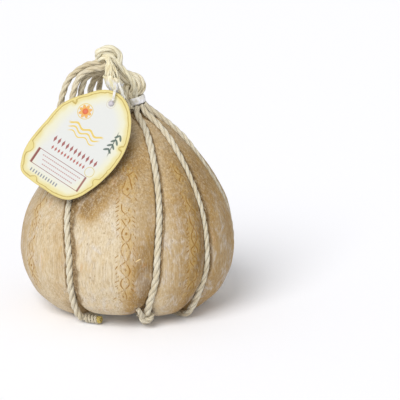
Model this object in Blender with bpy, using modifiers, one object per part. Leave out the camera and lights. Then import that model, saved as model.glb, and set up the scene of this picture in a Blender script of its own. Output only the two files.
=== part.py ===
"""A provolone cheese hung in a net of rope, with its card tag.

Metres, +Z up. The origin is under the middle of the cheese, on the surface that it stands on,
and the side with the tag faces -Y. Angles around the cheese are in degrees, 0 at -Y and growing
towards +X. Tables of sizes are in millimetres and are turned into metres as they are read.
"""

import math

import bmesh
import bpy
from mathutils import Matrix, Vector

MM = 0.001
NAME = "provolone"
GAP = 0.35 * MM  # left between pieces that touch

# The cheese. Each row of SIDE, FOOT and UNDERSIDE is a point of the crest line of its lobes:
# radius, height, how far the soft crease at a rope pulls the surface in, how deep the notch under
# the rope is, and how far inside the crest line the middle of the rope runs. SIDE is a smooth
# curve through its rows; the others are taken as they are.
SIDE = [
    (0, 189.4, 0, 0, 0),
    (14, 187.2, 0, 1.8, -2.0),
    (33, 177, 0.8, 2.4, -0.8),
    (54, 157.8, 2.0, 3.2, 0.8),
    (70, 140, 3.2, 4.0, 3.0),
    (84, 121, 4.2, 4.4, 4.2),
    (95, 101, 5.0, 4.6, 5.2),
    (101.5, 78, 5.0, 4.6, 5.2),
    (103, 56, 5.0, 5.2, 5.2),
    (99, 37, 4.5, 6.5, 4.8),
    (91, 20.5, 4.0, 8.5, 3.0),
]
FOOT = [
    (81, 10.2, 3.0, 9.5, -0.6),
    (74.5, 5.0, 2.2, 9.5, -0.4),
    (67, 1.4, 1.2, 9.0, 2.4),
    (56, 0, 0, 7.9, 3.8),
    (42, 0, 0, 7.9, 3.8),
]
UNDERSIDE = [
    (37.5, 4.5, 0, 4.2, 0),
    (32, 8.2, 0, 0, 0),
    (26.5, 4.5, 0, 0, 0),
    (22, 0, 0, 0, 0),
    (0, 0, 0, 0, 0),
]
ROWS_PER_SPAN = 2
LEAN = 8.6 * MM  # how far the top of the cheese leans towards +X
LEAN_HEIGHT = 200 * MM
NOTCH_WIDTH = 5.5 * MM
COLUMN_SHARES = [0, 0.045, 0.105, 0.2, 0.37, 0.63, 0.8, 0.895, 0.955]  # of a lobe's width
LOBE_SWELLS = [0, 0, 0, 0, 0, 0, 0, 0.36]  # how far a lobe's middle stands out, as part of the crease
LOBE_LIFTS = [9.0, 4.0, 0, 0, 0, 0, 0, 1.0]  # how far each lobe's lower edge clears the ground
LIFT_RADIUS = 63 * MM
LIFT_REACH = 22 * MM

# The net: eight ropes, each with its angle at the neck, the shoulder, the belly and the foot.
ROPE_COURSES = [
    (-65, -45, -31.5, -33),
    (-20, 22, 17, 13.5),
    (25, 52.5, 49, 47),
    (70, 88, 91, 92),
    (115, 130, 131, 132),
    (160, 171, 170, 170),
    (205, 212, 209, 208),
    (250, 252, 248, 247),
]
SHOULDER_RADIUS = 36 * MM
SHOULDER_HEIGHT = 150 * MM
BELLY_HEIGHT = 60 * MM
FOOT_HEIGHT = 10 * MM
ROPE_RADIUS = 3.4 * MM
NECK_ROPE_RADIUS = 1.98 * MM
NECK_RING_RADIUS = 5.6 * MM  # the ring that the ropes stand in under the band
NECK_DROPS = [(1.05 * MM, 1), (3 * MM, 1.03)]  # below the band, and how wide the ring is there
ROPE_THIN_HEIGHT = 194 * MM
ROPE_FULL_HEIGHT = 172 * MM
BASE_RING_RADIUS = 32 * MM
BASE_RING_ROPE = 3.1 * MM  # the radius of the rope that the ring is made of
ROPE_CLEARANCE = 0.3 * MM  # under the ropes that run beneath the cheese

# The white band that gathers the ropes at the neck.
BAND_CENTRE = Vector((9.9, 0, 199.6)) * MM
BAND_AXIS = Vector((-0.29, 0, 0.957)).normalized()
BAND_RADIUS = 7.7 * MM
BAND_THICKNESS = 1.1 * MM
BAND_HEIGHT = 7.4 * MM

# Routes above the band, each point with the radius of the piece there, in millimetres.
BUNCH_ROUTE = [
    (8.2, -0.4, 206.6, 6.8),
    (9.4, -1, 211, 8.2),
    (9.4, -2, 216, 8.4),
    (5, -3, 220, 7.2),
    (-1.2, -4, 222.8, 6.2),
    (-6.6, -5.4, 226.6, 5.3),
    (-10.2, -6, 230.2, 4.8),
]
BUNCH_FOOT_RADIUS = 3.1 * MM  # of the ropes that run on inside the ring, under the band
BUNCH_FOOT_DROPS = (4.5 * MM, 0.7 * MM)  # their lower and upper end, below the band
KNOT_CENTRE = Vector((-16.9, -6, 242.9)) * MM
KNOT_RADII = Vector((14.1, 11, 10.9)) * MM
KNOT_TURNS = 3
KNOT_RIDGE = 0.12
TAIL_ROUTE = [
    (-14, -20.6, 238.5, 2.8),
    (-12.4, -22.5, 234.5, 4.4),
    (-9.8, -25, 228, 5.2),
    (-7.2, -26.5, 220, 5.2),
    (-4.2, -27, 212.5, 4.9),
    (-1.4, -26, 205, 3.9),
]
LOOP_ROUTES = {
    "loop_outer": [
        (-32, -8, 235.8, 3.1),
        (-36.4, -8.4, 234.2, 3.1),
        (-40.8, -8.8, 232.1, 3.1),
        (-45.4, -9.2, 229, 3.1),
        (-49.8, -9.8, 225.4, 3.1),
        (-53.6, -10.4, 221, 3.1),
        (-56.6, -11, 215, 3.1),
        (-59, -11.8, 208.2, 3.1),
        (-61.2, -12.4, 199.4, 3.1),
        (-63.6, -13.4, 186, 3.1),
        (-64.6, -16, 172.6, 3.1),
        (-62.6, -20.5, 164, 3.1),
        (-58.6, -25.5, 161, 3.1),
        (-54.8, -28.5, 165, 3.1),
        (-53, -28, 174, 3.1),
        (-52, -24.5, 187, 3.1),
        (-50.8, -21, 199, 3.1),
        (-49.2, -20, 208, 3.1),
        (-46.6, -19, 217, 3.1),
        (-41.8, -17.6, 224.6, 3.1),
        (-34.4, -16.4, 229, 3.1),
        (-28.4, -16.8, 231, 3.1),
        (-22.8, -17, 231.2, 3.1),
    ],
    "loop_inner": [
        (-23, -10.8, 226.6, 3.1),
        (-30, -10.8, 225.6, 3.1),
        (-36.6, -11.6, 222.4, 3.1),
        (-40.4, -12.8, 216.4, 3.1),
        (-42.4, -13.6, 208, 3.1),
        (-43.6, -14, 198, 3.1),
        (-44.4, -14, 187, 3.1),
        (-43, -12, 180, 3.1),
        (-39, -8.6, 177.2, 3.1),
        (-36, -5, 180.6, 3.1),
        (-35.2, -3, 188, 3.1),
        (-34.8, -2, 198, 3.1),
        (-34.2, -2, 208, 3.1),
        (-31.6, -2.6, 216.6, 3.1),
        (-26.8, -3.4, 223.8, 3.1),
        (-22.4, -3.6, 228.6, 3.1),
    ],
    "loop_back": [
        (-20, 3.4, 228.8, 3.0),
        (-24, 5.2, 222, 3.0),
        (-25.8, 7.2, 214, 3.0),
        (-26.6, 8.4, 205, 3.0),
        (-27.2, 9, 195, 3.0),
        (-28, 9.6, 187, 3.0),
    ],
}

# The card tag: an egg-shaped outline with a flat lower edge, around the eyelet at (0, 0).
TAG_EYELET = Vector((-12.4, -40, 204.3)) * MM
TAG_FACE = Vector((-0.226, -0.855, 0.467)).normalized()
TAG_UP = Vector((0.555, 0.281, 0.783)).normalized()
TAG_THICKNESS = 0.7 * MM
TAG_EYELET_RADIUS = 2.0 * MM
TAG_OUTLINE = [
    (-36.3, -16.6),
    (-25.8, -4.3),
    (-16, 5.6),
    (-4, 10.8),
    (8.5, 9.8),
    (20, 2.4),
    (29.5, -9.5),
    (36, -24.5),
    (38.5, -41),
    (36.5, -60),
    (30.5, -78),
    (20, -94),
    (8, -99),
    (-8, -99.6),
    (-28, -99.2),
    (-36.5, -97),
    (-41.5, -90),
    (-45.5, -77),
    (-45.6, -61),
    (-43.8, -44),
    (-42, -28.6),
]
BUTTON_RADIUS = 2.9 * MM
BUTTON_THICKNESS = 1.4 * MM
BUTTON_STEM_RADIUS = 1.2 * MM
COLLAR_SPAN = (0.5, 0.7)  # the stretch of the tail that the white collar is wrapped on
COLLAR_THICKNESS = 0.6 * MM
TIE_ROUTE = [
    (-10.8, -43, 207.8, 1.2),
    (-10.2, -42, 211, 1.3),
    (-9.4, -39.8, 215, 1.5),
    (-8.6, -37.4, 218.6, 1.6),
]
TIE_LEG_ROUTE = [
    (-2.4, -34.6, 213.6, 1.3),
    (-2.2, -35, 209.5, 1.3),
    (-2.4, -34.6, 204, 1.3),
]

# The finished ends of the two front ropes at the foot.
WRAP_START = Vector((-36.8, -65.4, 5.0)) * MM
WRAP_END = Vector((-26.8, -69.2, 5.0)) * MM
WRAP_RADII = (3.8 * MM, 4.5 * MM)
WRAP_TURNS = 3
CUT_END_LENGTH = 4.4 * MM
CUT_END_RADIUS = 4.0 * MM
HITCH_HEIGHT = 11.5 * MM
HITCH_ROPE = 1.9 * MM
STUB_ROUTE = [
    (15.4, -89.4, 16, 2.3),
    (13.8, -91.6, 19.5, 2.4),
    (12.2, -93.2, 23, 2.2),
]

RIND = (0.60, 0.44, 0.27)
ROPE = (0.62, 0.53, 0.36)
BAND_WHITE = (0.70, 0.68, 0.62)
CARD = (0.86, 0.82, 0.66)
BUTTON_GREY = (0.52, 0.50, 0.58)
CUT_YELLOW = (0.60, 0.52, 0.22)


def smooth_through(points, steps):
    """Points on a Catmull-Rom spline through the given ones, with so many steps in each span."""
    ends = [points[0], *points, points[-1]]
    result = []
    for i in range(1, len(ends) - 2):
        p0, p1, p2, p3 = (Vector(p) for p in ends[i - 1:i + 3])
        for k in range(steps):
            t = k / steps
            result.append(
                p1
                + (p2 - p0) * (t / 2)
                + (2 * p0 - 5 * p1 + 4 * p2 - p3) * (t * t / 2)
                + (3 * p1 - p0 - 3 * p2 + p3) * (t ** 3 / 2)
            )
    result.append(Vector(points[-1]))
    return result


ROWS = [row * MM for row in smooth_through(SIDE, ROWS_PER_SPAN) + [Vector(row) for row in FOOT + UNDERSIDE]]


def smooth_step(value, low, high):
    t = min(max((value - low) / (high - low), 0), 1)
    return t * t * (3 - 2 * t)


def row_normal(row):
    """The crest line's outward direction at a row, as radius and height."""
    above = ROWS[max(row - 1, 0)]
    below = ROWS[min(row + 1, len(ROWS) - 1)]
    return Vector((above[1] - below[1], below[0] - above[0])).normalized()


def rope_angle(rope, row):
    """Where a rope runs around the cheese at a row; past the last rope the count starts again."""
    neck, shoulder, belly, foot = ROPE_COURSES[rope % len(ROPE_COURSES)]
    radius, height = ROWS[row][:2]
    angle = foot + (belly - foot) * smooth_step(height, FOOT_HEIGHT, BELLY_HEIGHT)
    angle += (shoulder - belly) * smooth_step(height, BELLY_HEIGHT, SHOULDER_HEIGHT)
    if height > SHOULDER_HEIGHT:
        spread = min(max((radius - NECK_RING_RADIUS) / (SHOULDER_RADIUS - NECK_RING_RADIUS), 0), 1)
        angle += (neck - shoulder) * (1 - spread) ** 2
    return angle + 360 * (rope // len(ROPE_COURSES))


def around(radius, height, angle):
    """A point at an angle around the leaning middle line of the cheese."""
    turn = math.radians(angle)
    lean = LEAN * (height / LEAN_HEIGHT) ** 2
    return Vector((lean + radius * math.sin(turn), -radius * math.cos(turn), height))


def cheese_point(row, column):
    """A point of the rind: the crest line, drawn in at the nearest rope and lifted at a lobe's foot."""
    radius, height, crease, notch, _ = ROWS[row]
    lobe, place = divmod(column, len(COLUMN_SHARES))
    share = COLUMN_SHARES[place]
    left, right = rope_angle(lobe, row), rope_angle(lobe + 1, row)
    from_rope = min(share, 1 - share)
    distance = from_rope * math.radians(right - left) * radius
    edge = (1 - 2 * from_rope) ** 2
    depth = crease * (edge - LOBE_SWELLS[lobe] * (1 - edge)) + notch / (1 + (distance / NOTCH_WIDTH) ** 4)
    normal = row_normal(row)
    radius -= normal[0] * depth
    height -= normal[1] * depth
    if ROWS[row][1] < BELLY_HEIGHT:
        lift = LOBE_LIFTS[lobe] * MM * smooth_step(from_rope, 0, 0.1)
        height += lift * max(0, 1 - ((ROWS[row][0] - LIFT_RADIUS) / LIFT_REACH) ** 2)
    return around(radius, height, left + (right - left) * share)


def add_object(name, data, material):
    found = bpy.data.objects.new(name, data)
    bpy.data.collections[NAME].objects.link(found)
    data.materials.append(material)
    return found


def add_mesh(name, bm, material):
    """A smooth-shaded mesh object from a bmesh."""
    mesh = bpy.data.meshes.new(name)
    bm.normal_update()
    bm.to_mesh(mesh)
    bm.free()
    mesh.shade_smooth()
    mesh.set_sharp_from_angle(angle=math.radians(50))
    return add_object(name, mesh, material)


def add_tube(name, points, radii, material, sides=6):
    """A round tube along a route, a curve with a bevel and filled caps; sides is even."""
    curve = bpy.data.curves.new(name, "CURVE")
    curve.dimensions = "3D"
    curve.bevel_depth = 1.0
    curve.bevel_resolution = (sides - 4) // 2
    curve.use_fill_caps = True
    spline = curve.splines.new("POLY")
    spline.points.add(len(points) - 1)
    for place, point, radius in zip(spline.points, points, radii):
        place.co = (*point, 1)
        place.radius = radius
    return add_object(name, curve, material)


def add_route(name, route, material, steps=1, sides=6):
    """A tube along a table of points and radii in millimetres."""
    rows = [row * MM for row in smooth_through(route, steps)]
    return add_tube(name, [row.xyz for row in rows], [row[3] for row in rows], material, sides)


def add_turned(name, profile, axis_place, material, steps=20):
    """A closed ring or spool: a profile of radius and height, from its top down its outer side,
    swept by a Screw modifier and laid with its axis along the third column of axis_place."""
    bm = bmesh.new()
    corners = [bm.verts.new((radius, 0, height)) for radius, height in profile]
    on_axis = profile[0][0] == 0
    for i in range(len(corners) - (1 if on_axis else 0)):
        bm.edges.new((corners[i], corners[(i + 1) % len(corners)]))
    mesh = bpy.data.meshes.new(name)
    bm.to_mesh(mesh)
    bm.free()
    found = add_object(name, mesh, material)
    screw = found.modifiers.new("Screw", "SCREW")
    screw.steps = steps
    screw.render_steps = steps
    screw.use_merge_vertices = True
    screw.merge_threshold = 0.00001
    found.matrix_world = axis_place
    return found


def add_torus(name, major_radius, minor_radius, segments, location, rotation, material):
    """A ring of rope, six-sided in section."""
    bpy.ops.mesh.primitive_torus_add(
        major_segments=segments,
        minor_segments=6,
        major_radius=major_radius,
        minor_radius=minor_radius,
        location=location,
        rotation=rotation,
    )
    ring = bpy.context.object
    ring.name = name
    ring.data.materials.append(material)
    ring.data.shade_smooth()
    bpy.context.collection.objects.unlink(ring)
    bpy.data.collections[NAME].objects.link(ring)


def frame_along(direction, place):
    """A placing matrix whose Z axis runs along a direction."""
    return Matrix.Translation(place) @ direction.to_track_quat("Z", "Y").to_matrix().to_4x4()


def add_material(name, colour, roughness):
    material = bpy.data.materials.new(name)
    material.use_nodes = True
    shader = material.node_tree.nodes["Principled BSDF"]
    shader.inputs["Base Color"].default_value = (*colour, 1)
    shader.inputs["Roughness"].default_value = roughness
    shader.inputs["Metallic"].default_value = 0
    material.diffuse_color = (*colour, 1)
    return material


def make_cheese(rind):
    """The solid cheese: a sphere whose rings and meridians are moved onto the rows and lobes."""
    columns = len(ROPE_COURSES) * len(COLUMN_SHARES)
    rings = len(ROWS) - 1
    bm = bmesh.new()
    bmesh.ops.create_uvsphere(bm, u_segments=columns, v_segments=rings, radius=1)
    for vert in bm.verts:
        x, y, z = vert.co
        row = round(math.acos(min(max(z, -1), 1)) / math.pi * rings)
        column = round(math.atan2(x, -y) / math.tau * columns) % columns
        vert.co = cheese_point(row, column)
    foot = min(bm.verts, key=lambda vert: vert.co.xy.length + vert.co.z)
    bmesh.ops.dissolve_verts(bm, verts=[foot])
    return add_mesh("cheese", bm, rind)


def net_rope_route(rope):
    """One rope of the net: down from the neck, over the belly and in under the cheese."""
    ring_turn = math.radians(ROPE_COURSES[rope][0])
    upright = Vector((0, 0, 1))
    tilt = upright.rotation_difference(BAND_AXIS).to_matrix()
    across = NECK_RING_RADIUS * Vector((math.sin(ring_turn), -math.cos(ring_turn), 0))
    route = []
    for drop, spread in NECK_DROPS:
        route.append(BAND_CENTRE + tilt @ (across * spread - (BAND_HEIGHT / 2 + drop) * upright))
    lowest = ROPE_RADIUS + ROPE_CLEARANCE
    for row in range(2, len(ROWS) - len(UNDERSIDE)):
        radius, height, _, _, inset = ROWS[row]
        normal = row_normal(row)
        height = max(height - normal[1] * inset, lowest)
        route.append(around(radius - normal[0] * inset, height, rope_angle(rope, row)))
    inner = BASE_RING_RADIUS + BASE_RING_ROPE + GAP
    route.append(around(inner, lowest, rope_angle(rope, len(ROWS) - 1)))
    return route


def rope_radius_at(height):
    """The rope is drawn thin where it is pulled tight towards the neck."""
    return NECK_ROPE_RADIUS + (ROPE_RADIUS - NECK_ROPE_RADIUS) * (
        1 - smooth_step(height, ROPE_FULL_HEIGHT, ROPE_THIN_HEIGHT)
    )


def make_net(rope_material):
    """Eight ropes from the neck to a ring of rope under the cheese."""
    for rope in range(len(ROPE_COURSES)):
        route = net_rope_route(rope)
        add_tube(f"rope_{rope + 1}", route, [rope_radius_at(point.z) for point in route], rope_material)
    middle = Vector((0, 0, BASE_RING_ROPE + ROPE_CLEARANCE))
    add_torus("base_ring", BASE_RING_RADIUS, BASE_RING_ROPE, 20, middle, (0, 0, 0), rope_material)


def make_band(band_material):
    """The white band around the gathered ropes, a short tube."""
    inner = BAND_RADIUS - BAND_THICKNESS
    half = BAND_HEIGHT / 2
    profile = [(inner, half), (BAND_RADIUS, half), (BAND_RADIUS, -half), (inner, -half)]
    add_turned("neck_band", profile, frame_along(BAND_AXIS, BAND_CENTRE), band_material)


def make_bunch(rope_material):
    """The ropes gathered above the neck: up from inside the ring, straight through the band, then
    bent over to the knot."""
    inside = BAND_RADIUS - BAND_THICKNESS - 3 * GAP
    half = BAND_HEIGHT / 2
    below = [(-half - drop, BUNCH_FOOT_RADIUS) for drop in BUNCH_FOOT_DROPS]
    through = [(height, inside) for height in (-half - GAP, 0, half + GAP)]
    start = []
    for height, radius in below + through:
        start.append((*((BAND_CENTRE + BAND_AXIS * height) / MM), radius / MM))
    add_route("rope_bunch", start + BUNCH_ROUTE, rope_material, steps=2, sides=10)


def make_knot(rope_material):
    """The knot, a ball of wound rope whose turns lie around the Y axis."""
    bm = bmesh.new()
    bmesh.ops.create_uvsphere(bm, u_segments=14, v_segments=18, radius=1)
    for vert in bm.verts:
        away = math.acos(min(max(vert.co.z, -1), 1)) / math.pi
        swell = 1 - KNOT_RIDGE * math.cos(away * math.tau * KNOT_TURNS) ** 2
        turned = Vector((vert.co.x, -vert.co.z, vert.co.y)) * swell
        vert.co = KNOT_CENTRE + Vector([a * b for a, b in zip(turned, KNOT_RADII)])
    add_mesh("top_knot", bm, rope_material)


def make_hanging_ropes(rope_material):
    """The loops that hang from the knot on the left, and the frayed tail in front of it."""
    for name, route in LOOP_ROUTES.items():
        add_route(name, route, rope_material)
    add_route("tail", TAIL_ROUTE, rope_material, steps=2, sides=10)


def make_tag(card, plastic, white):
    """The card on its plastic tie: the card itself, the button in its eyelet, the collar on the
    tail and the two legs of the tie."""
    across = TAG_UP.cross(TAG_FACE).normalized()
    place = Matrix((across, TAG_UP, TAG_FACE)).transposed().to_4x4()
    place.translation = TAG_EYELET
    curve = bpy.data.curves.new("tag", "CURVE")
    curve.dimensions = "2D"
    curve.fill_mode = "BOTH"
    curve.extrude = TAG_THICKNESS / 2
    curve.resolution_u = 2
    outline = curve.splines.new("BEZIER")
    outline.bezier_points.add(len(TAG_OUTLINE) - 1)
    for knot, corner in zip(outline.bezier_points, TAG_OUTLINE):
        knot.co = Vector((*corner, 0)) * MM
        knot.handle_left_type = knot.handle_right_type = "AUTO"
    outline.use_cyclic_u = True
    eyelet = curve.splines.new("POLY")
    eyelet_sides = 14
    eyelet.points.add(eyelet_sides - 1)
    for i, corner in enumerate(eyelet.points):
        turn = math.tau * i / eyelet_sides
        corner.co = (TAG_EYELET_RADIUS * math.cos(turn), TAG_EYELET_RADIUS * math.sin(turn), 0, 1)
    eyelet.use_cyclic_u = True
    add_object("tag", curve, card).matrix_world = place

    front = TAG_THICKNESS / 2 + GAP
    profile = [
        (0, front + BUTTON_THICKNESS),
        (BUTTON_RADIUS * 0.75, front + BUTTON_THICKNESS),
        (BUTTON_RADIUS, front + BUTTON_THICKNESS * 0.6),
        (BUTTON_RADIUS, front),
        (BUTTON_STEM_RADIUS, front),
        (BUTTON_STEM_RADIUS, -front),
        (BUTTON_RADIUS, -front),
        (BUTTON_RADIUS, -front - BUTTON_THICKNESS / 2),
        (0, -front - BUTTON_THICKNESS / 2),
    ]
    add_turned("tag_button", profile, place, plastic, steps=12)
    add_route("tag_tie", TIE_ROUTE, white, steps=2)
    add_route("tie_leg", TIE_LEG_ROUTE, white, steps=2)


def make_collar(white):
    """The white collar wrapped on the tail, a short tapered tube around it."""
    rows = [row * MM for row in smooth_through(TAIL_ROUTE, 2)]
    low, high = (rows[round(share * (len(rows) - 1))] for share in reversed(COLLAR_SPAN))
    axis = high.xyz - low.xyz
    half = axis.length / 2
    inner = max(row[3] for row in rows) + 2 * GAP
    outer = inner + COLLAR_THICKNESS
    profile = [(inner, half), (outer, half), (outer, -half), (inner, -half)]
    add_turned("tie_collar", profile, frame_along(axis.normalized(), (low.xyz + high.xyz) / 2), white)


def make_foot_ends(rope_material, cut_material):
    """The wrapped and cut end beside the left front rope, and the hitch on the right one."""
    turns = 2 * WRAP_TURNS
    points = [WRAP_START.lerp(WRAP_END, i / turns) for i in range(turns + 1)]
    radii = [WRAP_RADII[i % 2] for i in range(turns + 1)]
    add_tube("foot_wrap", points, radii, rope_material, sides=10)
    along = (WRAP_END - WRAP_START).normalized()
    start = WRAP_END + along * GAP
    cut_points = [start, start + along * CUT_END_LENGTH / 2, start + along * CUT_END_LENGTH]
    cut_radii = [CUT_END_RADIUS * 0.9, CUT_END_RADIUS, CUT_END_RADIUS * 0.85]
    add_tube("foot_cut_end", cut_points, cut_radii, cut_material, sides=10)

    route = net_rope_route(1)
    upper, lower = next((a, b) for a, b in zip(route, route[1:]) if b.z < HITCH_HEIGHT)
    place = upper.lerp(lower, (upper.z - HITCH_HEIGHT) / (upper.z - lower.z))
    turn = (upper - lower).to_track_quat("Z", "Y").to_euler()
    add_torus("foot_hitch", ROPE_RADIUS + GAP + HITCH_ROPE, HITCH_ROPE, 14, place, turn, rope_material)
    add_route("foot_stub", STUB_ROUTE, rope_material, steps=2)


def main():
    for old in list(bpy.data.objects):
        bpy.data.objects.remove(old, do_unlink=True)
    bpy.context.scene.collection.children.link(bpy.data.collections.new(NAME))
    rope = add_material("rope", ROPE, 0.9)
    white = add_material("white plastic", BAND_WHITE, 0.45)
    make_cheese(add_material("rind", RIND, 0.65))
    make_net(rope)
    make_band(white)
    make_bunch(rope)
    make_knot(rope)
    make_hanging_ropes(rope)
    make_tag(add_material("card", CARD, 0.7), add_material("button", BUTTON_GREY, 0.35), white)
    make_collar(white)
    make_foot_ends(rope, add_material("cut rope", CUT_YELLOW, 0.9))


main()
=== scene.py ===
"""A whole provolone hung in a rope net, with its knot, loops, frayed tail and card tag."""

import math

import bmesh
import bpy
import numpy as np
from mathutils import Matrix, Vector, kdtree, noise


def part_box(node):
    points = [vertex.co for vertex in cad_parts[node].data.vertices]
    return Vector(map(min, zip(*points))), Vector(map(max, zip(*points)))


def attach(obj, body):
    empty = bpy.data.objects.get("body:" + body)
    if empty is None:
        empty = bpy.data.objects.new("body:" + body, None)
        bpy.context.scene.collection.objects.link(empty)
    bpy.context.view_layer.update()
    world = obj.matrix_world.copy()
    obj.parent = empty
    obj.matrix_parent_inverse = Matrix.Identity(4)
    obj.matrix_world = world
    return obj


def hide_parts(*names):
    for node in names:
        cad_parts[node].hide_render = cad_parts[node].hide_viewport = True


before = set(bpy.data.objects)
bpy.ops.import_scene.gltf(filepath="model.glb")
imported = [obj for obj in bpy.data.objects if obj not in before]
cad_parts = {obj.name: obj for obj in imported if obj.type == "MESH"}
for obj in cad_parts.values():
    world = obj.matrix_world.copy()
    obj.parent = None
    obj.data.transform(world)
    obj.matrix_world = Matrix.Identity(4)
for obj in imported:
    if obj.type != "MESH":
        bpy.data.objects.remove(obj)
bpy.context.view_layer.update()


# ---- The cheese ----
# A pear of pulled curd of about four kilos, pressed into eight lobes by the net it ripened in.
# Its rind is thin, dry and tan: it is streaked lengthwise, bloomed white on the belly, brown and
# crumbling beside the ropes, and pressed with a plain ornament down the middle of its lobes.

MM = 0.001
NET_ROPES = [f"rope_{i + 1}" for i in range(8)]
ROPE_RADIUS = 3.4 * MM
GROOVE_WIDTH = 5.5 * MM
GROOVE_HEIGHTS = np.array([0, 12, 25, 140, 177, 190]) * MM
GROOVE_FILLS = np.array([1.5, 2.5, 4.6, 4.2, 2.0, 0.8]) * MM
ROPE_BITE = 0.6 * MM  # how far a rope presses past its own radius into the cheese
CRUST_WIDTH = 2.2 * MM
CRUST_ON_RIGHT = [2.5, 0.6, 1.0, 1.6, 1.0, 1.8, 1.0, 1.4]  # of that width, to the right of each rope
CRUST_ON_LEFT = 0.6
STAMP_SHARE = 0.66  # how far across its lobe the pressed ornament runs


def centre_line(node, toward=(0, 0, 0)):
    """The middle points and radii of the rings of a CAD tube, as rows that run toward a side."""
    bm = bmesh.new()
    bm.from_mesh(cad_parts[node].data)
    bmesh.ops.remove_doubles(bm, verts=bm.verts, dist=0.001 * MM)
    bm.verts.index_update()
    flat = bm.copy()
    bmesh.ops.dissolve_limit(flat, angle_limit=math.radians(0.3), verts=flat.verts, edges=flat.edges)
    caps = []
    for face in flat.faces:
        middle = face.calc_center_median()
        reach = [(vert.co - middle).length for vert in face.verts]
        if len(reach) >= 6 and max(reach) < 1.08 * min(reach):
            caps.append([vert.co.copy() for vert in face.verts])
    flat.free()
    corners = max(caps, key=lambda cap: sum(corner.z for corner in cap) / len(cap))
    ring = {min(bm.verts, key=lambda vert: (vert.co - corner).length) for corner in corners}
    seen = set(ring)
    rows = []
    while ring:
        places = [vert.co for vert in sorted(ring, key=lambda vert: vert.index)]
        middle = sum(places, Vector()) / len(places)
        rows.append((*middle, sum((place - middle).length for place in places) / len(places)))
        ring = {edge.other_vert(vert) for vert in ring for edge in vert.link_edges} - seen
        seen |= ring
    bm.free()
    rows = np.array(rows)
    return rows[::-1] if (rows[-1, :3] - rows[0, :3]) @ toward < 0 else rows


def run_along(path):
    """How far along a path each of its points lies."""
    return np.append(0, np.cumsum(np.linalg.norm(np.diff(path[:, :3], axis=0), axis=1)))


def spaced(rows, step):
    """A smooth curve through rows of x, y, z and more, read at even steps along its length."""
    rows = np.asarray(rows, float)
    ends = np.vstack([2 * rows[0] - rows[1], rows, 2 * rows[-1] - rows[-2]])
    t = np.linspace(0, 1, 12, endpoint=False)[:, None]
    curve = []
    for p0, p1, p2, p3 in zip(ends, ends[1:], ends[2:], ends[3:]):
        bend = 2 * p0 - 5 * p1 + 4 * p2 - p3
        curve.append(p1 + (p2 - p0) * t / 2 + bend * t ** 2 / 2 + (3 * p1 - p0 - 3 * p2 + p3) * t ** 3 / 2)
    curve = np.vstack([*curve, rows[-1:]])
    run = run_along(curve)
    places = np.linspace(0, run[-1], max(3, round(run[-1] / step) + 1))
    return np.stack([np.interp(places, run, column) for column in curve.T], axis=1)


def waver(place, *sizes):
    """Smooth noise about zero, in lumps of these sizes in millimetres along x, y and z."""
    return noise.noise(Vector([part / (size * MM) for part, size in zip(place, sizes)]))


def put_in_scene(name, data):
    made = bpy.data.objects.new(name, data)
    bpy.context.scene.collection.objects.link(made)
    return made


# The CAD facets are joined back into the quads that they were cut from. Smoothing pulls a cage in,
# so the cage is let out until the smooth rind passes through the corners of the solid.
bm = bmesh.new()
bm.from_mesh(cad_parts["cheese"].data)
bmesh.ops.remove_doubles(bm, verts=bm.verts, dist=0.001 * MM)
bmesh.ops.join_triangles(bm, faces=bm.faces, angle_face_threshold=math.pi, angle_shape_threshold=math.pi)
cage_mesh = bpy.data.meshes.new("cheese_cage")
bm.to_mesh(cage_mesh)
bm.free()
cage = put_in_scene("cheese_cage", cage_mesh)
smoothing = cage.modifiers.new("Subdivision", "SUBSURF")
smoothing.levels = smoothing.render_levels = 2


def smooth_rind():
    return bpy.data.meshes.new_from_object(cage.evaluated_get(bpy.context.evaluated_depsgraph_get()))


solid_corners = np.array([vert.co for vert in cage_mesh.vertices])
for _ in range(2):
    smoothed = smooth_rind()
    reached = np.array([vert.co for vert in smoothed.vertices[:len(solid_corners)]])
    let_out = np.array([vert.co for vert in cage_mesh.vertices]) + solid_corners - reached
    cage_mesh.vertices.foreach_set("co", let_out.ravel())
    cage_mesh.update()
    cage.update_tag()
    bpy.data.meshes.remove(smoothed)
cheese_mesh = smooth_rind()
bpy.data.objects.remove(cage)

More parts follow.
